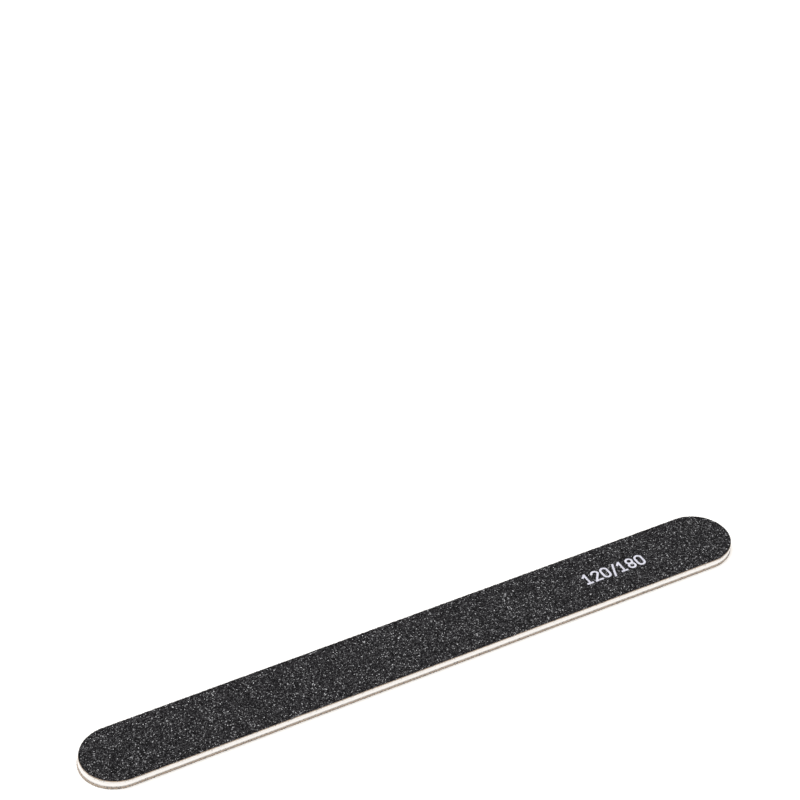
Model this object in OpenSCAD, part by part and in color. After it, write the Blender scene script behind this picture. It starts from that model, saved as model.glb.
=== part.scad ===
// Emery board with a cushion: a double-sided nail file cut from one laminated sheet.
// It lies flat: +X runs along it, +Z is up, and the origin is the middle of its underside.
// Both faces are built alike, outwards from a stiff core strip:
// adhesive film, foam cushion, adhesive film, backing paper, bond coat, grit coat.

/* [Board] */
// Length of the board from tip to tip
board_l = 180; // [120:1:220]
// Width of the board, and so the diameter of its round ends
board_w = 18.5; // [12:0.5:30]

/* [Core and cushions] */
// Thickness of the stiff plastic strip in the middle
core_t = 0.65; // [0.4:0.05:2]
// Thickness of the foam on each side of the core
cushion_t = 0.43; // [0.3:0.01:2]
// How far the foam stands back from the cut edge, where the knife pressed it in
cushion_recess = 0.08; // [0:0.02:0.4]
// Thickness of each adhesive film
adhesive_t = 0.04; // [0.02:0.01:0.1]

/* [Abrasive sheets] */
// Thickness of the kraft backing paper
paper_t = 0.3; // [0.1:0.01:0.4]
// Thickness of the resin that bonds the grit to the paper
bond_t = 0.05; // [0.03:0.01:0.1]
// Grit number of the upper face: a larger number is a finer grit
upper_grit_no = 120; // [80, 100, 120, 150, 180, 220, 240]
// Grit number of the lower face
lower_grit_no = 180; // [80, 100, 120, 150, 180, 220, 240]

/* [Printed number] */
// Height of the printed figures
figure_h = 3.9; // [2.5:0.1:6]
// Width of one figure
figure_w = 2.35; // [1.2:0.05:3.5]
// Clear gap between two figures
figure_gap = 0.35; // [0.3:0.05:1]
// Width of the ink's strokes
stroke_w = 0.55; // [0.3:0.05:0.6]
// Distance from the tip of the board to the end of the number
mark_inset = 25; // [16:0.5:30]
// How far the number sits off the middle of the face, towards the near edge
mark_drop = 0.1; // [0:0.1:1.5]
// Thickness of the ink on top of the grit
ink_t = 0.02; // [0.02:0.01:0.05]

/* [Hidden] */

// A grade of grit and its mean grain, in millimetres, multiply to about this
grade_times_grain = 15;
function grain_size(grit_no) = grade_times_grain / grit_no;

// Each layer's lower face, counted up from the surface that the board lies on
z_lower_bond = grain_size(lower_grit_no);
z_lower_paper = z_lower_bond + bond_t;
z_lower_sheet_adhesive = z_lower_paper + paper_t;
z_lower_cushion = z_lower_sheet_adhesive + adhesive_t;
z_lower_core_adhesive = z_lower_cushion + cushion_t;
z_core = z_lower_core_adhesive + adhesive_t;
z_upper_core_adhesive = z_core + core_t;
z_upper_cushion = z_upper_core_adhesive + adhesive_t;
z_upper_sheet_adhesive = z_upper_cushion + cushion_t;
z_upper_paper = z_upper_sheet_adhesive + adhesive_t;
z_upper_bond = z_upper_paper + paper_t;
z_upper_grit = z_upper_bond + bond_t;
z_ink = z_upper_grit + grain_size(upper_grit_no);

// The number names the upper grade, then the lower one, with a slash between them
function digits(n) = n < 10 ? [n] : concat(digits(floor(n / 10)), [n % 10]);
mark = concat(digits(upper_grit_no), ["/"], digits(lower_grit_no));
// The slash leans across this width, and drops this far below the line that the figures stand on
slash_w = 0.9 * figure_w;
slash_drop = 0.15 * figure_h;
// Each sign stands in the middle of its own cell. The slash leans, so its cell needs no gap of its own
function sign_w(sign) = sign == "/" ? slash_w : figure_w;
function cell_w(sign) = sign == "/" ? slash_w : figure_w + figure_gap;
function cell_x(i) = i == 0 ? 0 : cell_x(i - 1) + cell_w(mark[i - 1]);
function sign_x(i) = cell_x(i) + (cell_w(mark[i]) - sign_w(mark[i])) / 2;
mark_l = cell_x(len(mark)) - figure_gap / 2;
// The two loops of the figure 8 share the stroke where they meet
loop_h = (figure_h + stroke_w) / 2;
loop_w = min(figure_w, loop_h);

// One layer of the board: a strip with round ends, drawn in all round by inset
module layer(z, thickness, inset = 0) {
    end_r = board_w / 2 - inset;
    straight_l = board_l - board_w;
    translate([0, 0, z])
        linear_extrude(thickness)
            union() {
                square([straight_l, 2 * end_r], center = true);
                for (side = [-1, 1])
                    translate([side * straight_l / 2, 0])
                        circle(r = end_r, $fn = 128);
            }
}

// A disc, or two discs joined by a bar, from the corner of the box that it fills
module pill(wide, high) {
    r = wide / 2;
    flank = high - wide;
    translate([r, r])
        circle(r = r, $fn = 48);
    if (flank > 0) {
        translate([r, r + flank])
            circle(r = r, $fn = 48);
        translate([0, r])
            square([wide, flank]);
    }
}

// A pill of ink with an open middle
module ring(wide, high) {
    difference() {
        pill(wide, high);
        translate([stroke_w, stroke_w])
            pill(wide - 2 * stroke_w, high - 2 * stroke_w);
    }
}

// A straight stroke of ink from one point to another
module stroke(from, to) {
    run = to - from;
    translate(from)
        rotate(atan2(run[1], run[0]))
            translate([0, -stroke_w / 2])
                square([norm(run), stroke_w]);
}

// A stem on a foot, narrower than the other figures, with a flag that falls to the left from its top
module figure_one() {
    foot_w = 0.8 * figure_w;
    foot_x = (figure_w - foot_w) / 2;
    translate([foot_x, 0])
        square([foot_w, stroke_w]);
    translate([(figure_w - stroke_w) / 2, 0])
        square([stroke_w, figure_h]);
    intersection() {
        square([figure_w, figure_h]);
        stroke([foot_x, figure_h - (foot_w + stroke_w) / 2], [figure_w / 2, figure_h - stroke_w / 2]);
    }
}

// The upper half of a ring, a slanted stroke down to the left, and a foot
module figure_two() {
    bowl_r = figure_w / 2;
    bowl_y = figure_h - bowl_r;
    heel = [stroke_w / 2, stroke_w / 2];
    bowl_end = [figure_w - stroke_w / 2, bowl_y];
    square([figure_w, stroke_w]);
    // The slant is drawn a little long, and cut off level with the bowl's end
    intersection() {
        square([figure_w, bowl_y]);
        stroke(heel, heel + 1.2 * (bowl_end - heel));
    }
    difference() {
        translate([0, bowl_y - bowl_r])
            ring(figure_w, figure_w);
        translate([0, bowl_y - bowl_r])
            square([figure_w, bowl_r]);
    }
}

// A stem, a crossbar low down, and a slanted stroke that closes the corner
module figure_four() {
    stem_x = 0.65 * figure_w;
    bar_y = figure_h / 4;
    translate([0, bar_y])
        square([figure_w, stroke_w]);
    translate([stem_x - stroke_w / 2, 0])
        square([stroke_w, figure_h]);
    stroke([stroke_w / 2, bar_y + stroke_w / 2], [stem_x, figure_h - stroke_w / 2]);
}

// A bar at the top, a short stem at its left, and a loop that is open at the left
module figure_five() {
    mouth_y = loop_h / 3;
    translate([0, figure_h - stroke_w])
        square([figure_w, stroke_w]);
    translate([0, loop_h - stroke_w])
        square([stroke_w, figure_h - loop_h + stroke_w]);
    translate([0, loop_h - stroke_w])
        square([figure_w / 2, stroke_w]);
    difference() {
        translate([(figure_w - loop_w) / 2, 0])
            ring(loop_w, loop_h);
        translate([0, mouth_y])
            square([figure_w / 2, loop_h - stroke_w - mouth_y]);
    }
}

// Two equal rings, one on the other, that share a stroke
module figure_eight() {
    for (y = [0, loop_h - stroke_w])
        translate([(figure_w - loop_w) / 2, y])
            ring(loop_w, loop_h);
}

module slash() {
    stroke([stroke_w / 2, -slash_drop], [slash_w - stroke_w / 2, figure_h]);
}

module figure(sign) {
    if (sign == 0) ring(figure_w, figure_h);
    if (sign == 1) figure_one();
    if (sign == 2) figure_two();
    if (sign == 4) figure_four();
    if (sign == 5) figure_five();
    if (sign == 8) figure_eight();
    if (sign == "/") slash();
}

module lower_grit() {
    color("#3b3a3b")
        layer(0, grain_size(lower_grit_no));
}

module lower_bond_coat() {
    color("#1d1b1c")
        layer(z_lower_bond, bond_t);
}

module lower_backing_paper() {
    color("#a07c5c")
        layer(z_lower_paper, paper_t);
}

module lower_sheet_adhesive() {
    color("#ece6da")
        layer(z_lower_sheet_adhesive, adhesive_t, cushion_recess);
}

module lower_cushion() {
    color("#f4f1ec")
        layer(z_lower_cushion, cushion_t, cushion_recess);
}

module lower_core_adhesive() {
    color("#ece6da")
        layer(z_lower_core_adhesive, adhesive_t, cushion_recess);
}

module core_strip() {
    color("#fbfaf7")
        layer(z_core, core_t);
}

module upper_core_adhesive() {
    color("#ece6da")
        layer(z_upper_core_adhesive, adhesive_t, cushion_recess);
}

module upper_cushion() {
    color("#f4f1ec")
        layer(z_upper_cushion, cushion_t, cushion_recess);
}

module upper_sheet_adhesive() {
    color("#ece6da")
        layer(z_upper_sheet_adhesive, adhesive_t, cushion_recess);
}

module upper_backing_paper() {
    color("#a07c5c")
        layer(z_upper_paper, paper_t);
}

module upper_bond_coat() {
    color("#1d1b1c")
        layer(z_upper_bond, bond_t);
}

module upper_grit() {
    color("#3b3a3b")
        layer(z_upper_grit, grain_size(upper_grit_no));
}

// The number reads along the board, towards the tip that it is near
module grit_mark() {
    color("#dcdce6")
        translate([board_l / 2 - mark_inset - mark_l, -figure_h / 2 - mark_drop, z_ink])
            linear_extrude(ink_t)
                for (i = [0 : len(mark) - 1])
                    translate([sign_x(i), 0])
                        figure(mark[i]);
}

lower_grit();
lower_bond_coat();
lower_backing_paper();
lower_sheet_adhesive();
lower_cushion();
lower_core_adhesive();
core_strip();
upper_core_adhesive();
upper_cushion();
upper_sheet_adhesive();
upper_backing_paper();
upper_bond_coat();
upper_grit();
grit_mark();
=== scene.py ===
import math
import random
from collections import namedtuple

import bmesh
import bpy
import numpy as np
from mathutils import Matrix, Vector, noise
from mathutils.bvhtree import BVHTree


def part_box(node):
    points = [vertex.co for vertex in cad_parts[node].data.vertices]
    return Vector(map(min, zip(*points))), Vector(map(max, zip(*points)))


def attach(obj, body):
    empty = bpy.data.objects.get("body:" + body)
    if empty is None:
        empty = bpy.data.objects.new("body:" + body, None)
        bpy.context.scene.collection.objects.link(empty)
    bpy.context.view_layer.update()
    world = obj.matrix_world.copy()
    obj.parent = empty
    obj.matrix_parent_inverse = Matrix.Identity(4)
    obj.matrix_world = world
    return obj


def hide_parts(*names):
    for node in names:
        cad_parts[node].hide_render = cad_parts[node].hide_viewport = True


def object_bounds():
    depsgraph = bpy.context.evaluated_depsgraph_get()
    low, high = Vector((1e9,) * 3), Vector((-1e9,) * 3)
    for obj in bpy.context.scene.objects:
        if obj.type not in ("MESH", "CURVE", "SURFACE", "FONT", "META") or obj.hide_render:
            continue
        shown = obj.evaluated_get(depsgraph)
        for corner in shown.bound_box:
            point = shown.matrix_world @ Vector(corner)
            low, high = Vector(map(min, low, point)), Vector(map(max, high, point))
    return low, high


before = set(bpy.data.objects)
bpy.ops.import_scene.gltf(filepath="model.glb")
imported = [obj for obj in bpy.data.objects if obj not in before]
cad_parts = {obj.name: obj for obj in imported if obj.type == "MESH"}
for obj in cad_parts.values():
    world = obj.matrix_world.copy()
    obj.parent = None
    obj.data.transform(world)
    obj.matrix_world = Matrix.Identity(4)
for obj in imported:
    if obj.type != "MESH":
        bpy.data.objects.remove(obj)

bl_info = {
    "name": "Cushioned emery board",
    "version": (1, 0, 0),
    "blender": (4, 5, 0),
    "location": "3D View > Sidebar > Emery board",
    "description": "Grit, ink, paper, foam and plastic for the layers of a cushioned nail file",
    "category": "Object",
}

MM = 0.001

# The board's outline is a strip with round ends, so two sizes of the frame give it
HALF_LENGTH, HALF_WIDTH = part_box("core_strip")[1][:2]
# The round ends are drawn about two points on the middle line, this far from the origin
END_CENTRE = HALF_LENGTH - HALF_WIDTH
# The whole object, before anything is dressed
CAD_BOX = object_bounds()


def to_linear(hex_colour):
    """An sRGB hex colour as the linear numbers that a shader takes."""
    parts = [int(hex_colour[i:i + 2], 16) / 255 for i in (1, 3, 5)]
    return tuple(p / 12.92 if p <= 0.04045 else ((p + 0.055) / 1.055) ** 2.4 for p in parts)


def length_property(name, description, default):
    return bpy.props.FloatProperty(
        name=name, description=description, default=default, min=0, precision=5, unit="LENGTH"
    )


def colour_property(name, description, hex_colour):
    return bpy.props.FloatVectorProperty(
        name=name, description=description, default=to_linear(hex_colour), min=0, max=1, subtype="COLOR"
    )


def number_property(name, description, default, unit="NONE"):
    return bpy.props.FloatProperty(
        name=name, description=description, default=default, min=0, precision=3, unit=unit
    )


def count_property(name, description, default):
    return bpy.props.IntProperty(name=name, description=description, default=default, min=0)


def angle_property(name, description, degrees):
    return bpy.props.FloatProperty(
        name=name, description=description, default=math.radians(degrees), subtype="ANGLE"
    )


class LaminateSettings(bpy.types.PropertyGroup):
    """How the knife left the layers and their cut edges."""

    crown_drop: length_property(
        "Crown drop", "How far the knife pressed the rim of the upper face down", 0.03 * MM
    )
    crown_reach: length_property(
        "Crown reach", "How far in from the edge the face bends down", 3.6 * MM
    )
    end_lean: length_property(
        "End lean", "How far the plain end stands back at its top, where the knife leaned", 0.6 * MM
    )
    rim_step: length_property(
        "Rim step", "Distance between points along the cut edge", 0.36 * MM
    )
    foam_bow: length_property(
        "Foam bow", "How much further the upper foam's edge draws in halfway up", 0.02 * MM
    )
    foam_lean: length_property(
        "Foam lean", "How much further the lower foam's foot draws in, dragged by the knife", 0.14 * MM
    )
    paper_fray: length_property(
        "Paper fray", "How far the paper's cut fibres pull back from the edge", 0.05 * MM
    )
    knife_marks: length_property(
        "Knife marks", "Depth of the knife's scratches down the plastic's edge", 0.03 * MM
    )
    dust_count: count_property("Dust count", "Loose grains that stick to the cut edge", 1300)


class GritSettings(bpy.types.PropertyGroup):
    """The abrasive coats. Real grains of these grades are 0.08 to 0.12 mm wide, finer than a pixel
    of the picture, so they are drawn about 0.2 mm wide. They keep their real height."""

    bed_step: length_property(
        "Bed step", "Distance between neighbouring grains in the even bed of the coat", 0.2 * MM
    )
    rim_loss: length_property(
        "Rim loss", "How far in the knife broke grains out of the rim", 0.2 * MM
    )
    # Grains differ partly in their own tone and partly in painted light, as some flash and some lie in shade
    grain_spread: number_property(
        "Grain spread", "How much one grain's shade differs from another's", 0.08
    )
    # Painted light: the facets of one grain take different shades, as if tilted towards or away from the
    # lamps
    facet_painted_light_spread: number_property(
        "Facet spread", "How much the facets of one grain differ in shade", 0.15
    )
    crushed_width: length_property(
        "Crushed width", "Mean width of the larger crushed grains", 0.2 * MM
    )
    crushed_count: count_property("Crushed count", "Larger crushed grains on each face", 14000)


class MarkSettings(bpy.types.PropertyGroup):
    """The printed number."""

    ink_lift: length_property(
        "Ink lift", "Height of the ink's skin over the grains that it covers", 0.012 * MM
    )
    ink_cell: length_property(
        "Ink cell", "Distance between the points of the ink's skin", 0.1 * MM
    )


class FinishColours(bpy.types.PropertyGroup):
    """The colours that the finishes start from."""

    # The grit's ramp is partly painted light. Deep is painted shade between grains, dark and mid are the
    # grains' own black, dusty is painted sheen and pale is a painted glint on a facet. Which grain takes
    # which is drawn at random, not from its height.
    grit_painted_shade: colour_property("Grit, deep", "Grains that lie low between the others", "#030303")
    grit_dark: colour_property("Grit, dark", "Common grains, black under resin", "#090809")
    grit_mid: colour_property("Grit, mid", "Grains that stand a little higher", "#262527")
    # Painted sheen on grit facets, and also the real grey of grit dust rubbed into the kraft's cut
    grit_painted_sheen_and_dust: colour_property("Grit, dusty", "Grains with a dull, pale bloom", "#6C6B6D")
    grit_painted_glint: colour_property("Grit, pale", "Clean broken facets", "#FAFAFC")
    resin: colour_property("Resin", "Black phenolic resin between the grains", "#111112")
    kraft: colour_property("Kraft paper", "Cut edge of the backing paper", "#AF9985")
    kraft_pale: colour_property("Kraft paper, pale", "Fibre ends in the cut paper", "#CDBAA6")
    foam: colour_property("Foam", "White closed-cell foam", "#FFFBF7")
    # Partly paper and grit dust, partly painted shade at the lower foam's drawn-in foot
    foam_foot_dust_and_shade: colour_property("Foam, dusty", "Paper and grit dust on the foot of the foam", "#948679")
    core: colour_property("Core", "White polystyrene strip", "#FEFAF6")
    film: colour_property("Adhesive film", "Acrylic adhesive, faintly yellow", "#EFE8DB")
    ink: colour_property("Ink", "White printing ink, thin enough to look lilac over black", "#E4E3EF")
    sweep: colour_property("Sweep", "The white surface under the board", "#F4F4F4")
    sweep_shade: colour_property("Sweep, shaded", "What the camera sees of it in the shadow", "#FDFDFD")
    sweep_glow: colour_property("Sweep, glow", "Warm light that fills that shadow", "#FFF1DE")


class StudioSettings(bpy.types.PropertyGroup):
    """Camera and lights. The camera's place was fitted to the board's outline in the photograph."""

    azimuth: angle_property("Azimuth", "Turn of the camera round the board", -28.5)
    elevation: angle_property("Elevation", "Camera's angle above the table", 37.07)
    distance: length_property("Distance", "From the camera to the board, along the view", 626.7 * MM)
    pan_left: length_property(
        "Pan left", "How far the camera stands to the left of the board's middle", 4.77 * MM
    )
    pan_up: length_property(
        "Pan up", "How far the camera stands above the view line through the board's middle", 60.99 * MM
    )
    lens: number_property("Lens", "Focal length on a sensor 36 mm wide", 114.9, "CAMERA")
    tent_strength: number_property("Tent strength", "Light from the white tent all round", 0.975)
    key_watts: number_property("Key watts", "Power of the soft box above the board", 2.1, "POWER")


def add(tree, kind, sockets=None, **settings):
    """Adds a node to a tree. A socket that is given a socket is linked to it, and else takes the value."""
    node = tree.nodes.new(kind)
    for name, value in settings.items():
        setattr(node, name, value)
    for name, value in (sockets or {}).items():
        if isinstance(value, bpy.types.NodeSocket):
            tree.links.new(value, node.inputs[name])
        else:
            node.inputs[name].default_value = value
    return node


def new_finish(name):
    """A material without nodes, and the tree to fill."""
    material = bpy.data.materials.new(name)
    material.use_nodes = True
    material.node_tree.nodes.clear()
    return material, material.node_tree


def finish_with(tree, shader):
    add(tree, "ShaderNodeOutputMaterial", {"Surface": shader.outputs[0]})


def opaque(colour):
    return (*colour, 1)


def ramp(tree, factor, stops):
    """A colour ramp through (position, colour) stops."""
    node = add(tree, "ShaderNodeValToRGB", {"Fac": factor})
    elements = node.color_ramp.elements
    while len(elements) < len(stops):
        elements.new(1)
    for element, (position, colour) in zip(elements, stops):
        element.position = position
        element.color = opaque(colour)
    return node.outputs["Color"]


def grit_finish(colours):
    """Black silicon carbide, crushed, electrostatically coated and locked in a phenolic size coat. Each
    facet is a flat glassy break under a skin of resin, so one is matt and its neighbour flashes. Those
    flashes and the shade between grains are painted into the facets' colours: painted shade, the grains' own
    black, then painted sheen and painted glints."""
    material, tree = new_finish("black_silicon_carbide_resin_coated")
    grain = add(tree, "ShaderNodeAttribute", attribute_name="grain").outputs["Fac"]
    # Shades bunch round the middle of the ramp, so about one facet in twenty-five takes painted sheen, and
    # few take a painted glint. Which facet is painted lit or shaded is drawn at random, not from its height
    colour = ramp(tree, grain, (
        (0.0, colours.grit_painted_shade), (0.33, colours.grit_dark), (0.6, colours.grit_mid),
        (0.8, colours.grit_painted_sheen_and_dust), (1.0, colours.grit_painted_glint)
    ))
    gloss = add(tree, "ShaderNodeMapRange", {"Value": grain, "To Min": 0.5, "To Max": 0.25})
    shader = add(tree, "ShaderNodeBsdfPrincipled", {
        "Base Color": colour, "Roughness": gloss.outputs[0], "IOR": 1.55, "Specular IOR Level": 0.02
    })
    finish_with(tree, shader)
    return material


def resin_finish(colours):
    """Black phenolic resin, roller coated on the paper and cut through: half glossy, with tiny chips."""
    material, tree = new_finish("phenolic_resin_coated_and_cut")
    place = add(tree, "ShaderNodeTexCoord").outputs["Object"]
    # Chips as wide as a grain, 0.12 mm
    chips = add(tree, "ShaderNodeTexNoise", {"Vector": place, "Scale": 1 / (0.12 * MM), "Detail": 3})
    bump = add(tree, "ShaderNodeBump", {"Height": chips.outputs[0], "Strength": 0.6, "Distance": 0.02 * MM})
    shader = add(tree, "ShaderNodeBsdfPrincipled", {
        "Base Color": opaque(colours.resin), "Roughness": 0.42, "IOR": 1.55, "Normal": bump.outputs[0]
    })
    finish_with(tree, shader)
    return material


def kraft_finish(colours):
    """Unbleached kraft paper, die cut: brown, with paler fibre ends that lie along the sheet. The knife
    rubbed grit dust into the cut, which speckles it grey."""
    material, tree = new_finish("kraft_paper_die_cut")
    place = add(tree, "ShaderNodeTexCoord").outputs["Object"]
    # Bundles of fibres are about 0.25 mm long and lie flat, so the pattern is five times finer in height
    lie = add(tree, "ShaderNodeMapping", {"Vector": place, "Scale": (1, 1, 5)})
    fibres = add(tree, "ShaderNodeTexNoise", {
        "Vector": lie.outputs[0], "Scale": 1 / (0.25 * MM), "Detail": 6
    })
    brown = ramp(tree, fibres.outputs[0], ((0.3, colours.kraft), (0.7, colours.kraft_pale)))
    # Single grains of dust are finer than a pixel, so they are drawn as clumps about 0.4 mm across
    clumps = add(tree, "ShaderNodeTexNoise", {"Vector": place, "Scale": 1 / (0.4 * MM), "Detail": 2})
    dusty = add(tree, "ShaderNodeMapRange", {
        "Value": clumps.outputs[0], "From Min": 0.54, "From Max": 0.62
    })
    colour = add(tree, "ShaderNodeMix", {
        "Factor": dusty.outputs[0], "A": brown, "B": opaque(colours.grit_painted_sheen_and_dust)
    }, data_type="RGBA")
    bump = add(tree, "ShaderNodeBump", {
        "Height": fibres.outputs[0], "Strength": 0.7, "Distance": 0.03 * MM
    })
    shader = add(tree, "ShaderNodeBsdfPrincipled", {
        "Base Color": colour.outputs["Result"], "Roughness": 0.85, "Normal": bump.outputs[0]
    })
    finish_with(tree, shader)
    return material


def foam_finish(colours):
    """White polyethylene foam, closed cell, die cut: open half cells make a fine matt tooth, a little
    grey. The foot of the lower one is painted darker and browner: partly paper and grit dust from where the
    knife dragged down through the lower sheet, partly painted shade where the foot draws in above the floor."""
    material, tree = new_finish("polyethylene_foam_die_cut")
    place = add(tree, "ShaderNodeTexCoord").outputs["Object"]
    # Cells of this foam are about 0.15 mm across
    cells = add(tree, "ShaderNodeTexVoronoi", {"Vector": place, "Scale": 1 / (0.15 * MM)})
    shade = add(tree, "ShaderNodeMapRange", {
        "Value": cells.outputs["Distance"], "From Max": 0.8, "To Min": 0.93, "To Max": 1.0
    })
    colour = add(tree, "ShaderNodeMix", {
        "Factor": 1.0, "A": opaque(colours.foam), "B": shade.outputs[0]
    }, data_type="RGBA", blend_type="MULTIPLY")
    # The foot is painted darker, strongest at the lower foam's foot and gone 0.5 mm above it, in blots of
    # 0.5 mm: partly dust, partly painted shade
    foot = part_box("lower_cushion")[0][2]
    height = add(tree, "ShaderNodeSeparateXYZ", {"Vector": place}).outputs["Z"]
    near = add(tree, "ShaderNodeMapRange", {
        "Value": height, "From Min": foot, "From Max": foot + 0.5 * MM, "To Min": 1.0, "To Max": 0.0
    })
    blots = add(tree, "ShaderNodeTexNoise", {"Vector": place, "Scale": 1 / (0.5 * MM), "Detail": 3})
    amount = add(tree, "ShaderNodeMath", {0: near.outputs[0], 1: blots.outputs[0]}, operation="MULTIPLY")
    dusted_and_shaded = add(tree, "ShaderNodeMix", {
        "Factor": amount.outputs[0], "A": colour.outputs["Result"], "B": opaque(colours.foam_foot_dust_and_shade)
    }, data_type="RGBA")
    bump = add(tree, "ShaderNodeBump", {
        "Height": cells.outputs["Distance"], "Strength": 0.5, "Distance": 0.04 * MM
    })
    shader = add(tree, "ShaderNodeBsdfPrincipled", {
        "Base Color": dusted_and_shaded.outputs["Result"], "Roughness": 0.8, "Normal": bump.outputs[0]
    })
    finish_with(tree, shader)
    return material


def core_finish(colours):
    """High-impact polystyrene sheet, extruded and die cut: white, half matt, and scratched down its edge
    by the knife."""
    material, tree = new_finish("polystyrene_sheet_die_cut")
    place = add(tree, "ShaderNodeTexCoord").outputs["Object"]
    # The knife's scratches run straight down, 0.3 mm apart, so the pattern hardly changes with height
    down = add(tree, "ShaderNodeMapping", {"Vector": place, "Scale": (1, 1, 0.05)})
    scratches = add(tree, "ShaderNodeTexNoise", {
        "Vector": down.outputs[0], "Scale": 1 / (0.3 * MM), "Detail": 4
    })
    bump = add(tree, "ShaderNodeBump", {
        "Height": scratches.outputs[0], "Strength": 0.5, "Distance": 0.03 * MM
    })
    shader = add(tree, "ShaderNodeBsdfPrincipled", {
        "Base Color": opaque(colours.core), "Roughness": 0.45, "IOR": 1.59, "Normal": bump.outputs[0]
    })
    finish_with(tree, shader)
    return material


def film_finish(colours):
    """Acrylic adhesive film, transfer coated and cut: clear, faintly yellow and tacky, so dust dulls it."""
    material, tree = new_finish("acrylic_adhesive_film")
    place = add(tree, "ShaderNodeTexCoord").outputs["Object"]
    # Strings of adhesive about 0.2 mm apart
    strings = add(tree, "ShaderNodeTexNoise", {"Vector": place, "Scale": 1 / (0.2 * MM), "Detail": 2})
    rough = add(tree, "ShaderNodeMapRange", {"Value": strings.outputs[0], "To Min": 0.3, "To Max": 0.7})
    shader = add(tree, "ShaderNodeBsdfPrincipled", {
        "Base Color": opaque(colours.film), "Roughness": rough.outputs[0], "IOR": 1.47
    })
    finish_with(tree, shader)
    return material


def ink_finish(colours):
    """White screen ink, printed on the grit and dried: matt, and thinner where it ran in between grains."""
    material, tree = new_finish("screen_ink_dried")
    place = add(tree, "ShaderNodeTexCoord").outputs["Object"]
    # Thin spots come and go over about one grain
    thin = add(tree, "ShaderNodeTexNoise", {"Vector": place, "Scale": 1 / (0.2 * MM), "Detail": 3})
    cover = add(tree, "ShaderNodeMapRange", {
        "Value": thin.outputs[0], "From Min": 0.3, "From Max": 0.7, "To Min": 0.76, "To Max": 1.0
    })
    colour = add(tree, "ShaderNodeMix", {
        "Factor": 1.0, "A": opaque(colours.ink), "B": cover.outputs[0]
    }, data_type="RGBA", blend_type="MULTIPLY")
    shader = add(tree, "ShaderNodeBsdfPrincipled", {
        "Base Color": colour.outputs["Result"], "Roughness": 0.75
    })
    finish_with(tree, shader)
    return material


FINISHES = {
    "grit": grit_finish,
    "bond_resin": resin_finish,
    "kraft_paper": kraft_finish,
    "foam": foam_finish,
    "core_plastic": core_finish,
    "adhesive": film_finish,
    "ink": ink_finish,
}


def finish_for(slot, context):
    """The finish of a material slot, made once and then found again by the slot's name."""
    for material in bpy.data.materials:
        if material.get("slot") == slot:
            return material
    material = FINISHES[slot](context.scene.board_colours)
    material["slot"] = slot
    return material


def crown(inset, laminate):
    """How far the face has bent down at this distance in from the cut edge."""
    bend = max(0, 1 - inset / laminate.crown_reach)
    return laminate.crown_drop * bend * bend


def edge_of(co):
    """The point nearest to co on the line between the round ends' centres, and how far in from the edge
    co lies."""
    centre = Vector((min(max(co.x, -END_CENTRE), END_CENTRE), 0, 0))
    return centre, HALF_WIDTH - (co - centre).xy.length


def slide(co, inset):
    """Moves a point straight in or out from the cut edge, at its own height."""
    centre, _ = edge_of(co)
    co.xy = centre.xy + (co - centre).xy.normalized() * (HALF_WIDTH - inset)


def move_to_inset(vert, inset, height):
    """Slides a vertex straight in or out from the cut edge, and gives it a height."""
    slide(vert.co, inset)
    vert.co.z = height


def draw_outline(bm, laminate):
    """A loop of edges round the board: a circle whose halves are drawn apart to the two ends."""
    quarter = round(math.pi * HALF_WIDTH / 2 / laminate.rim_step)
    segments = 4 * quarter
    half_step = Matrix.Rotation(math.pi / segments, 4, "Z")
    bmesh.ops.create_circle(bm, segments=segments, radius=HALF_WIDTH, matrix=half_step)
    for vert in bm.verts:
        vert.co.x += math.copysign(END_CENTRE, vert.co.x)
    sides = [edge for edge in bm.edges if edge.calc_length() > END_CENTRE]
    bmesh.ops.subdivide_edges(bm, edges=sides, cuts=round(2 * END_CENTRE / laminate.rim_step))
    return bm.edges[:]


def extrude_rim(bm, rim):
    """Extrudes a loop of edges. Gives the new loop's edges and vertices."""
    grown = bmesh.ops.extrude_edge_only(bm, edges=rim)["geom"]
    edges = [item for item in grown if isinstance(item, bmesh.types.BMEdge)]
    verts = [item for item in grown if isinstance(item, bmesh.types.BMVert)]
    loop = set(verts)
    return [edge for edge in edges if edge.verts[0] in loop and edge.verts[1] in loop], verts


def lean_end(bm, laminate):
    """Draws the plain end in, the more the higher, and eases that off towards the middle."""
    slope = laminate.end_lean / CAD_BOX[1][2]
    for vert in bm.verts:
        share = min(max(-vert.co.x / END_CENTRE, 0), 1)
        vert.co.x += slope * vert.co.z * share


def piece_from(bm, name, slot, context, nodes):
    """Turns a bmesh into a finished piece that rides on the board in place of CAD nodes."""
    lean_end(bm, context.scene.board_laminate)
    mesh = bpy.data.meshes.new(name)
    bm.to_mesh(mesh)
    bm.free()
    mesh.materials.append(finish_for(slot, context))
    piece = bpy.data.objects.new(name, mesh)
    context.scene.collection.objects.link(piece)
    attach(piece, "root")
    if nodes:
        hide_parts(*nodes)
    return piece


# One sheet of the laminate. crowns says which way its lower and upper face bend at the rim, inset is where
# its wall stands, wall is the wall's own line as (depth, share of its height), and fray roughens the wall.
Sheet = namedtuple("Sheet", "node slot crowns inset wall fray tall_marks")

# Shares of the crown's reach at which a sheet has a ring of points
CROWN_RINGS = (1, 0.55, 0.22, 0)
# Torn fibres and knife marks come and go over this distance
FRAY_SPACING = 0.45 * MM
# How rough the knife left the foam's walls, and the films' walls
FOAM_FRAY = 0.03 * MM
FILM_FRAY = 0.04 * MM
# How far the plastic's wall stands in from the edge, before its knife marks
CORE_INSET = 0.02 * MM


def fray_noise(co, tall_marks):
    """Noise from 0 to 1 for a wall. Knife marks run the wall's full height, and torn fibres don't."""
    spot = Vector((co.x, co.y, 0 if tall_marks else co.z)) / FRAY_SPACING
    return min(max(0.5 + noise.noise(spot), 0), 1)


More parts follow.
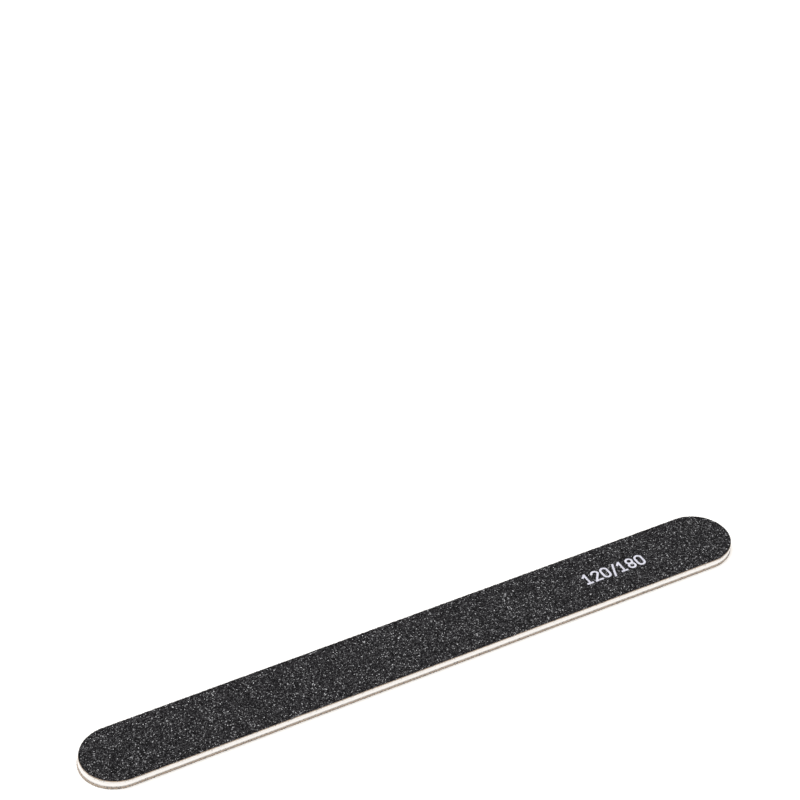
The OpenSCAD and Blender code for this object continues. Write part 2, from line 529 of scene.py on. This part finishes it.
def build_sheet(sheet, context):
    """Lofts a sheet from the middle of its lower face, round its wall, to the middle of its upper face."""
    laminate = context.scene.board_laminate
    low, high = (corner[2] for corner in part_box(sheet.node))
    insets = [sheet.inset + (laminate.crown_reach - sheet.inset) * share for share in CROWN_RINGS]
    bottom = [(inset, low + sheet.crowns[0] * crown(inset, laminate)) for inset in insets]
    top = [(inset, high + sheet.crowns[1] * crown(inset, laminate)) for inset in reversed(insets)]
    foot, head = bottom[-1][1], top[0][1]
    wall = [(sheet.inset + depth, foot + share * (head - foot)) for depth, share in sheet.wall]
    bm = bmesh.new()
    rim = draw_outline(bm, laminate)
    verts = bm.verts[:]
    for step, (inset, height) in enumerate(bottom + wall + top):
        if step == 0:
            bmesh.ops.edgeloop_fill(bm, edges=rim)
        else:
            rim, verts = extrude_rim(bm, rim)
        on_wall = inset < laminate.crown_reach * CROWN_RINGS[-2]
        for vert in verts:
            move_to_inset(vert, inset, height)
            if on_wall:
                torn = sheet.fray * fray_noise(vert.co, sheet.tall_marks)
                move_to_inset(vert, inset + torn, height)
    bmesh.ops.edgeloop_fill(bm, edges=rim)
    bmesh.ops.recalc_face_normals(bm, faces=bm.faces[:])
    return piece_from(bm, sheet.node + "_cut", sheet.slot, context, [sheet.node])


def distance_in(node):
    """How far in a node's wall stands from the edge of the core strip."""
    return HALF_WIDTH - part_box(node)[1][1]


class BOARD_OT_core(bpy.types.Operator):
    """Core strip of white plastic, with the knife's marks down its edge, and the films on its two faces"""

    bl_idname = "board.core"
    bl_label = "Core strip"

    def execute(self, context):
        laminate = context.scene.board_laminate
        burr = laminate.knife_marks
        # The knife rounds the plastic's upper arris and leaves a step where it broke through
        wall = ((burr * 0.5, 0.03), (0, 0.1), (0, 0.5), (burr * 0.3, 0.9))
        build_sheet(Sheet("core_strip", "core_plastic", (0, 0), CORE_INSET, wall, burr, True), context)
        for film in ("lower_core_adhesive", "upper_core_adhesive"):
            build_sheet(Sheet(film, "adhesive", (0, 0), distance_in(film), (), 0, False), context)
        return {"FINISHED"}


class BOARD_OT_cushions(bpy.types.Operator):
    """Foam cushions, thinner at the rim where the knife pressed them, with the film over each"""

    bl_idname = "board.cushions"
    bl_label = "Foam cushions"

    def execute(self, context):
        laminate = context.scene.board_laminate
        bow = laminate.foam_bow
        lean = laminate.foam_lean
        lower_wall = ((lean, 0.02), (lean * 0.6, 0.35), (lean * 0.15, 0.7))
        upper_wall = ((bow * 0.7, 0.2), (bow, 0.5), (bow * 0.7, 0.8))
        for side, bend, wall, back in (("lower", 0, lower_wall, lean), ("upper", -1, upper_wall, 0)):
            cushion = side + "_cushion"
            film = side + "_sheet_adhesive"
            inset = distance_in(cushion)
            build_sheet(Sheet(cushion, "foam", (0, bend), inset, wall, FOAM_FRAY, False), context)
            # The film under the lower foam's foot stands back with it
            inset = distance_in(film) + back
            build_sheet(Sheet(film, "adhesive", (bend, bend), inset, (), FILM_FRAY, False), context)
        return {"FINISHED"}


class BOARD_OT_sheets(bpy.types.Operator):
    """Kraft paper and black bond coat of both abrasive sheets"""

    bl_idname = "board.sheets"
    bl_label = "Paper and bond coat"

    def execute(self, context):
        fray = context.scene.board_laminate.paper_fray
        for side, bend in (("lower", 0), ("upper", -1)):
            paper = side + "_backing_paper"
            bond = side + "_bond_coat"
            build_sheet(Sheet(paper, "kraft_paper", (bend, bend), 0, ((0, 0.5),), fray, False), context)
            build_sheet(Sheet(bond, "bond_resin", (bend, bend), 0, (), fray, True), context)
        return {"FINISHED"}


# One abrasive coat: its node, the way it faces, its resin's height in the middle of the board, how far its
# grains stand out from there, how much of the crown it follows, and the seed of its own draws
Coat = namedtuple("Coat", "node outward resin thickness crowned seed")

# How far a grain of the bed strays from its place in the net, as a share of the step
GRAIN_STRAY = 0.33
# The least height of a grain, as a share of the coat's thickness: on the face, and at the broken rim
LEAST_GRAIN = 0.15
LEAST_RIM_GRAIN = 0.3
# The cut side of a coat counts as this draw, far darker than any grain's
CUT_SIDE_DRAW = -3
# A crushed grain is the hull of this many corners, at distances from its middle in shares of its width
SPLINTER_CORNERS = 8
SPLINTER_REACH = (0.4, 0.6)
# So many different splinters make up a coat, and the dust
COAT_SPLINTERS = 24
DUST_SPLINTERS = 8


def coats():
    low, high = (corner[2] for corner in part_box("upper_grit"))
    yield Coat("upper_grit", 1, low, high - low, 1, 120)
    low, high = (corner[2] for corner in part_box("lower_grit"))
    yield Coat("lower_grit", -1, high, high - low, 0, 180)


def coat_ground(coat, inset, laminate):
    """The height of the resin under a coat at this distance in from the edge."""
    return coat.resin - coat.crowned * crown(inset, laminate)


def shade_faces(mesh, grains, seed, grit):
    """Stores a number from 0 to 1 for each facet, which the finish turns into its shade and gloss. It adds
    up the grain's own bell-shaped draw, one for each facet in grains, and the facet's own, which is painted
    light: a facet's tilt towards or away from the lamps, drawn as a shade."""
    facets = np.random.default_rng(seed).normal(size=len(grains))
    shades = 0.5 + grit.grain_spread * np.asarray(grains) + grit.facet_painted_light_spread * facets
    grain = mesh.attributes.new("grain", "FLOAT", "FACE")
    grain.data.foreach_set("value", np.clip(shades, 0, 1).astype(np.float32))


def build_bed(coat, context):
    """The even bed of a coat: a net with one knot to a grain, each knot raised to its grain's own height."""
    laminate = context.scene.board_laminate
    grit = context.scene.board_grit
    draw = random.Random(coat.seed)
    step = grit.bed_step
    bm = bmesh.new()
    bmesh.ops.create_grid(
        bm, x_segments=round(2 * HALF_LENGTH / step), y_segments=round(2 * HALF_WIDTH / step), size=1,
        matrix=Matrix.Diagonal((HALF_LENGTH, HALF_WIDTH, 1, 1))
    )
    outside = [vert for vert in bm.verts if edge_of(vert.co)[1] < -step / 10]
    bmesh.ops.delete(bm, geom=outside, context="VERTS")
    rim = [edge for edge in bm.edges if edge.is_boundary]
    at_rim = {vert for edge in rim for vert in edge.verts}
    for vert in bm.verts:
        if vert in at_rim:
            loss = grit.rim_loss * draw.random() ** 3
            height = coat.thickness * draw.uniform(LEAST_RIM_GRAIN, 1)
        else:
            vert.co.x += step * draw.uniform(-GRAIN_STRAY, GRAIN_STRAY)
            vert.co.y += step * draw.uniform(-GRAIN_STRAY, GRAIN_STRAY)
            loss = max(edge_of(vert.co)[1], step / 4)
            height = coat.thickness * draw.uniform(LEAST_GRAIN, 1)
        ground = coat_ground(coat, loss, laminate)
        move_to_inset(vert, loss, ground + coat.outward * height)
    bmesh.ops.triangulate(bm, faces=bm.faces[:], quad_method="SHORT_EDGE")
    # Each facet belongs to the highest knot on it, so that a whole grain has one shade
    own = {vert: draw.gauss(0, 1) for vert in bm.verts}
    grains = [own[max(face.verts, key=lambda vert: coat.outward * vert.co.z)] for face in bm.faces]
    for inset in (None, laminate.crown_reach / 2, laminate.crown_reach):
        rim, verts = extrude_rim(bm, rim)
        for vert in verts:
            at = edge_of(vert.co)[1] if inset is None else inset
            move_to_inset(vert, at, coat_ground(coat, at, laminate))
    bmesh.ops.edgeloop_fill(bm, edges=rim)
    bmesh.ops.recalc_face_normals(bm, faces=bm.faces[:])
    grains += [CUT_SIDE_DRAW] * (len(bm.faces) - len(grains))
    bed = piece_from(bm, coat.node + "_bed", "grit", context, [coat.node])
    shade_faces(bed.data, grains, coat.seed, grit)


def crushed_shapes(count, seed):
    """Convex splinters about one unit wide, like crushed carbide, as meshes."""
    draw = random.Random(seed)
    shapes = []
    for _ in range(count):
        bm = bmesh.new()
        for _ in range(SPLINTER_CORNERS):
            direction = Vector([draw.gauss(0, 1) for _ in range(3)]).normalized()
            bm.verts.new(direction * draw.uniform(*SPLINTER_REACH))
        hull = bmesh.ops.convex_hull(bm, input=bm.verts[:])
        bmesh.ops.delete(bm, geom=hull["geom_interior"], context="VERTS")
        bmesh.ops.recalc_face_normals(bm, faces=bm.faces[:])
        mesh = bpy.data.meshes.new("splinter")
        bm.to_mesh(mesh)
        bm.free()
        shapes.append(mesh)
    return shapes


def strew(kinds, seed, places):
    """Puts a splinter at each place, a 4x4 matrix. Gives the bmesh and the face count of each splinter in
    turn. All the kinds are laid out once in a row, and the row is doubled until there are enough."""
    bm = bmesh.new()
    corner_counts = []
    face_counts = []
    for shape in crushed_shapes(kinds, seed):
        bm.from_mesh(shape)
        corner_counts.append(len(shape.vertices))
        face_counts.append(len(shape.polygons))
        bpy.data.meshes.remove(shape)
    row = bpy.data.meshes.new("splinters")
    rows = 1
    while rows * kinds < len(places):
        bm.to_mesh(row)
        bm.from_mesh(row)
        rows *= 2
    bpy.data.meshes.remove(row)
    corner_counts = np.array(corner_counts * rows)
    face_counts = np.array(face_counts * rows)
    verts = bm.verts[:]
    first = 0
    for place, corners in zip(places, corner_counts):
        for vert in verts[first:first + corners]:
            vert.co = place @ vert.co
        first += corners
    bmesh.ops.delete(bm, geom=verts[first:], context="VERTS")
    return bm, face_counts[:len(places)]


def any_turn(draw):
    """A random rotation, the same for the same draws."""
    axis = Vector([draw.gauss(0, 1) for _ in range(3)]).normalized()
    return Matrix.Rotation(draw.uniform(0, 2 * math.pi), 4, axis)


def build_crushed(coat, context):
    """The larger grains of a coat, bedded to the resin, with no tip above the coat's own face."""
    laminate = context.scene.board_laminate
    grit = context.scene.board_grit
    draw = random.Random(coat.seed + 1)
    places = []
    while len(places) < grit.crushed_count:
        spot = Vector((draw.uniform(-HALF_LENGTH, HALF_LENGTH), draw.uniform(-HALF_WIDTH, HALF_WIDTH), 0))
        width = grit.crushed_width * draw.uniform(0.6, 1.35)
        _, inset = edge_of(spot)
        if inset < width * SPLINTER_REACH[1]:
            continue
        tall = coat.thickness * draw.uniform(0.7, 0.98)
        # Squashed to this height, a splinter keeps its tips inside the coat however it is turned
        squash = Matrix.Diagonal((width, width, tall / (2 * SPLINTER_REACH[1]), 1))
        spot.z = coat_ground(coat, inset, laminate) + coat.outward * tall / 2
        places.append(Matrix.Translation(spot) @ squash @ any_turn(draw))
    bm, counts = strew(COAT_SPLINTERS, coat.seed + 2, places)
    crushed = piece_from(bm, coat.node + "_crushed", "grit", context, [coat.node])
    own = np.random.default_rng(coat.seed + 3).normal(size=len(places))
    shade_faces(crushed.data, np.repeat(own, counts), coat.seed + 4, grit)


class BOARD_OT_grit(bpy.types.Operator):
    """Both abrasive coats: an even bed of grains, and the larger crushed ones that stand in it"""

    bl_idname = "board.grit"
    bl_label = "Grit coats"

    def execute(self, context):
        for coat in coats():
            build_bed(coat, context)
            build_crushed(coat, context)
        return {"FINISHED"}


# Widths of the loose grains in millimetres, the least and the greatest
DUST_WIDTHS = (0.07, 0.2)
# Where the dust sticks, in shares of the height from the lower foam's foot to the upper foam's head, and
# how often. Most is near the two sheets that it broke from, and the lower one shed more.
DUST_BELTS = {(-0.1, 0.2): 5, (0, 1): 1, (0.85, 1): 2}
DUST_SEED = 7


class BOARD_OT_dust(bpy.types.Operator):
    """Loose grains that the knife left on the white cut edge"""

    bl_idname = "board.dust"
    bl_label = "Dust on the edge"

    def execute(self, context):
        laminate = context.scene.board_laminate
        draw = random.Random(DUST_SEED)
        low, foam_top = (corner[2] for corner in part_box("lower_cushion"))
        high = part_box("upper_cushion")[1][2] - laminate.crown_drop
        recess = distance_in("lower_cushion")
        straight = 4 * END_CENTRE
        whole = straight + 2 * math.pi * HALF_WIDTH
        places = []
        for _ in range(laminate.dust_count):
            width = draw.uniform(*DUST_WIDTHS) * MM
            # The board's edge is followed once round: two sides, then the two ends
            along = draw.uniform(0, whole)
            if along < straight:
                side = 1 if along < straight / 2 else -1
                spot = Vector((along % (2 * END_CENTRE) - END_CENTRE, side * HALF_WIDTH, 0))
            else:
                angle = (along - straight) / HALF_WIDTH
                spot = Vector((math.cos(angle), math.sin(angle), 0)) * HALF_WIDTH
                spot.x += math.copysign(END_CENTRE, spot.x)
            belt = draw.choices(tuple(DUST_BELTS), tuple(DUST_BELTS.values()))[0]
            spot.z = low + (high - low) * draw.uniform(*belt)
            # It lies on the foam's wall, which leans in at its foot, or sits in the paper below that.
            # No corner of it stands out from the cut edge.
            inset = 0.65 * width
            if spot.z > low:
                lean = laminate.foam_lean * min(max((foam_top - spot.z) / (foam_top - low), 0), 1)
                inset = max(recess + lean - 0.4 * width, inset)
            slide(spot, inset)
            scale = Matrix.Diagonal((width, width, width, 1))
            places.append(Matrix.Translation(spot) @ scale @ any_turn(draw))
        bm, counts = strew(DUST_SPLINTERS, DUST_SEED + 1, places)
        dust = piece_from(bm, "edge_dust", "grit", context, [])
        shade_faces(dust.data, np.zeros(sum(counts)), DUST_SEED + 2, context.scene.board_grit)
        return {"FINISHED"}


# Points of the ink's skin that are nearer than this, in metres, are one
SAME_POINT = 1e-7


class BOARD_OT_mark(bpy.types.Operator):
    """The printed number: a skin of ink that lies over the grains of the upper face"""

    bl_idname = "board.mark"
    bl_label = "Printed number"

    def execute(self, context):
        mark = context.scene.board_mark
        low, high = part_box("grit_mark")
        bm = bmesh.new()
        bm.from_mesh(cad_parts["grit_mark"].data)
        bmesh.ops.remove_doubles(bm, verts=bm.verts[:], dist=SAME_POINT)
        # Only the figures' upper faces are kept
        rest = [face for face in bm.faces if face.normal.z < 0.5]
        bmesh.ops.delete(bm, geom=rest, context="FACES")
        # The figures are cut into cells, so that the skin can follow the grains
        for axis in range(2):
            cells = math.ceil((high[axis] - low[axis]) / mark.ink_cell)
            normal = Vector((axis == 0, axis == 1, 0))
            for i in range(1, cells):
                cut = Vector((0, 0, 0))
                cut[axis] = low[axis] + i * mark.ink_cell
                whole = bm.verts[:] + bm.edges[:] + bm.faces[:]
                bmesh.ops.bisect_plane(bm, geom=whole, plane_co=cut, plane_no=normal, dist=SAME_POINT)
        bmesh.ops.triangulate(bm, faces=bm.faces[:])
        grains = bmesh.new()
        for name in ("upper_grit_bed", "upper_grit_crushed"):
            grains.from_mesh(bpy.data.objects[name].data)
        relief = BVHTree.FromBMesh(grains)
        grains.free()
        for vert in bm.verts:
            above = Vector((vert.co.x, vert.co.y, high[2]))
            hit = relief.ray_cast(above, Vector((0, 0, -1)))[0]
            vert.co.z = min(hit.z + mark.ink_lift, high[2])
        bmesh.ops.smooth_vert(bm, verts=bm.verts[:], factor=0.5, use_axis_z=True)
        # The skin's underside is sunk among the grains, so that no gap shows under it
        skin = bmesh.ops.extrude_face_region(bm, geom=bm.faces[:])
        sunk = [item for item in skin["geom"] if isinstance(item, bmesh.types.BMVert)]
        bmesh.ops.translate(bm, verts=sunk, vec=(0, 0, -2.5 * mark.ink_lift))
        bmesh.ops.recalc_face_normals(bm, faces=bm.faces[:])
        piece_from(bm, "printed_number", "ink", context, ["grit_mark"])
        return {"FINISHED"}


def aim_camera(studio):
    """The camera's place in the world: it looks along its line of sight, and is then slid left and up."""
    away = Vector((
        math.sin(studio.azimuth) * math.cos(studio.elevation),
        -math.cos(studio.azimuth) * math.cos(studio.elevation),
        math.sin(studio.elevation),
    ))
    right = Vector((0, 0, 1)).cross(away).normalized()
    up = away.cross(right)
    turn = Matrix((right, up, away)).transposed().to_4x4()
    place = away * studio.distance - right * studio.pan_left + up * studio.pan_up
    return Matrix.Translation(place) @ turn


def white_for_camera(tree, lit, glow):
    """Gives glow to the camera and to reflections, and lit to all other rays, so that the white behind the
    board adds no light to it."""
    path = add(tree, "ShaderNodeLightPath")
    seen = add(tree, "ShaderNodeMath", {
        0: path.outputs["Is Camera Ray"], 1: path.outputs["Is Glossy Ray"]
    }, operation="MAXIMUM")
    seen = add(tree, "ShaderNodeMath", {
        0: seen.outputs[0], 1: path.outputs["Is Transmission Ray"]
    }, operation="MAXIMUM")
    return add(tree, "ShaderNodeMixShader", {0: seen.outputs[0], 1: lit.outputs[0], 2: glow.outputs[0]})


# The sweep reaches this far from the board on each side, in metres
SWEEP_REACH = 3
# The sweep's own share of the white that the camera sees
SWEEP_GLOW = 0.17
# The soft box, a little behind the board and high over it, and the length of its sides, in metres
BOX_PLACE = (-0.12, 0.28, 0.95)
BOX_SIDE = 0.28


class BOARD_OT_stage(bpy.types.Operator):
    """White sweep, white tent, soft box and camera"""

    bl_idname = "board.stage"
    bl_label = "Stage"

    def execute(self, context):
        studio = context.scene.board_studio
        colours = context.scene.board_colours
        bm = bmesh.new()
        bmesh.ops.create_grid(bm, x_segments=1, y_segments=1, size=SWEEP_REACH)
        mesh = bpy.data.meshes.new("sweep")
        bm.to_mesh(mesh)
        bm.free()
        sweep = bpy.data.objects.new("sweep", mesh)
        context.scene.collection.objects.link(sweep)
        material, tree = new_finish("white_paper_sweep")
        lit = add(tree, "ShaderNodeBsdfDiffuse", {"Color": opaque(colours.sweep)})
        # The rest of the white is lit by the lamps, so it keeps the board's shadow
        own = add(tree, "ShaderNodeEmission", {"Color": opaque(colours.sweep_glow), "Strength": SWEEP_GLOW})
        shadowed = add(tree, "ShaderNodeBsdfDiffuse", {"Color": opaque(colours.sweep_shade)})
        glow = add(tree, "ShaderNodeAddShader", {0: own.outputs[0], 1: shadowed.outputs[0]})
        finish_with(tree, white_for_camera(tree, lit, glow))
        mesh.materials.append(material)

        world = bpy.data.worlds.new("white_tent")
        world.use_nodes = True
        world.node_tree.nodes.clear()
        tent = add(world.node_tree, "ShaderNodeBackground", {"Strength": studio.tent_strength})
        seen = add(world.node_tree, "ShaderNodeBackground", {"Strength": 1.0})
        for background in (tent, seen):
            background.inputs["Color"].default_value = (1, 1, 1, 1)
        mixed = white_for_camera(world.node_tree, tent, seen)
        add(world.node_tree, "ShaderNodeOutputWorld", {"Surface": mixed.outputs[0]})
        context.scene.world = world

        box = bpy.data.lights.new("soft_box", "AREA")
        box.shape = "SQUARE"
        box.size = BOX_SIDE
        box.energy = studio.key_watts
        lamp = bpy.data.objects.new("soft_box", box)
        lamp.location = BOX_PLACE
        lamp.rotation_euler = lamp.location.to_track_quat("Z", "Y").to_euler()
        context.scene.collection.objects.link(lamp)

        lens = bpy.data.cameras.new("camera")
        lens.lens = studio.lens
        lens.sensor_width = 36
        lens.clip_start = 0.01
        camera = bpy.data.objects.new("camera", lens)
        camera.matrix_world = aim_camera(studio)
        context.scene.collection.objects.link(camera)
        context.scene.camera = camera
        context.scene.view_settings.view_transform = "Standard"
        return {"FINISHED"}


OPERATORS = (
    BOARD_OT_core, BOARD_OT_cushions, BOARD_OT_sheets, BOARD_OT_grit, BOARD_OT_dust, BOARD_OT_mark,
    BOARD_OT_stage
)
SETTINGS = {
    "board_laminate": LaminateSettings,
    "board_grit": GritSettings,
    "board_mark": MarkSettings,
    "board_colours": FinishColours,
    "board_studio": StudioSettings,
}


class BOARD_PT_panel(bpy.types.Panel):
    """Lists the board's settings and the steps that build it"""

    bl_label = "Emery board"
    bl_idname = "BOARD_PT_panel"
    bl_space_type = "VIEW_3D"
    bl_region_type = "UI"
    bl_category = "Emery board"

    def draw(self, context):
        for name, group in SETTINGS.items():
            box = self.layout.box()
            for prop in group.__annotations__:
                box.prop(getattr(context.scene, name), prop)
        for operator in OPERATORS:
            self.layout.operator(operator.bl_idname)


def register():
    for name, group in SETTINGS.items():
        bpy.utils.register_class(group)
        setattr(bpy.types.Scene, name, bpy.props.PointerProperty(type=group))
    for operator in OPERATORS:
        bpy.utils.register_class(operator)
    bpy.utils.register_class(BOARD_PT_panel)


def unregister():
    bpy.utils.unregister_class(BOARD_PT_panel)
    for operator in reversed(OPERATORS):
        bpy.utils.unregister_class(operator)
    for name, group in reversed(SETTINGS.items()):
        delattr(bpy.types.Scene, name)
        bpy.utils.unregister_class(group)


def main():
    register()
    for operator in OPERATORS:
        group, name = operator.bl_idname.split(".")
        getattr(getattr(bpy.ops, group), name)()


if __name__ == "__main__":
    main()
